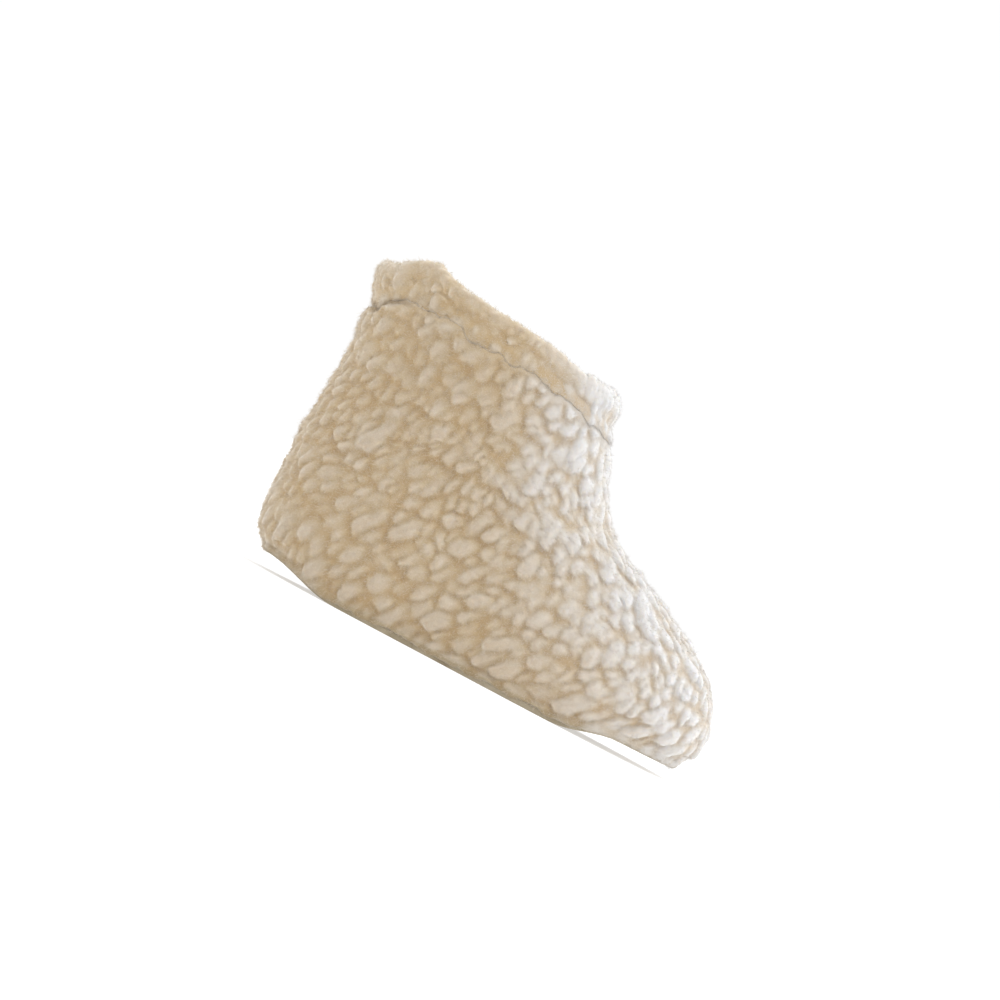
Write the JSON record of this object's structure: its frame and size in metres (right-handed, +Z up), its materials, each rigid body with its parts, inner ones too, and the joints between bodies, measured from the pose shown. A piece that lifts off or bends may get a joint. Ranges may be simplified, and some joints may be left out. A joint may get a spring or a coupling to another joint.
{
  "type": "fleece ankle house boot",
  "caption": "Hollow ankle-high house boot of curly fleece with a rolled collar hem, an insole and a thin soft sole; right foot.",
  "frame": {"origin": "on the floor, under the middle of the boot's bounding box", "axes": "+X towards the toe, +Y towards the medial (inner) side of the right foot, +Z up"},
  "size_m": [0.2792, 0.1064, 0.1905],
  "materials": {
    "fleece": "curly cream wool pile, matt, lighter on the curls and tan between them",
    "hem_fleece": "the same pile pressed smoother over the collar's edge, matt",
    "sole_suede": "napped tan suede, matt",
    "insole_fleece": "short cream wool pile, matt"
  },
  "bodies": {
    "root": {"upper": "fleece", "collar_hem": "hem_fleece", "outsole": "sole_suede", "insole": "insole_fleece"}
  },
  "joints": []
}
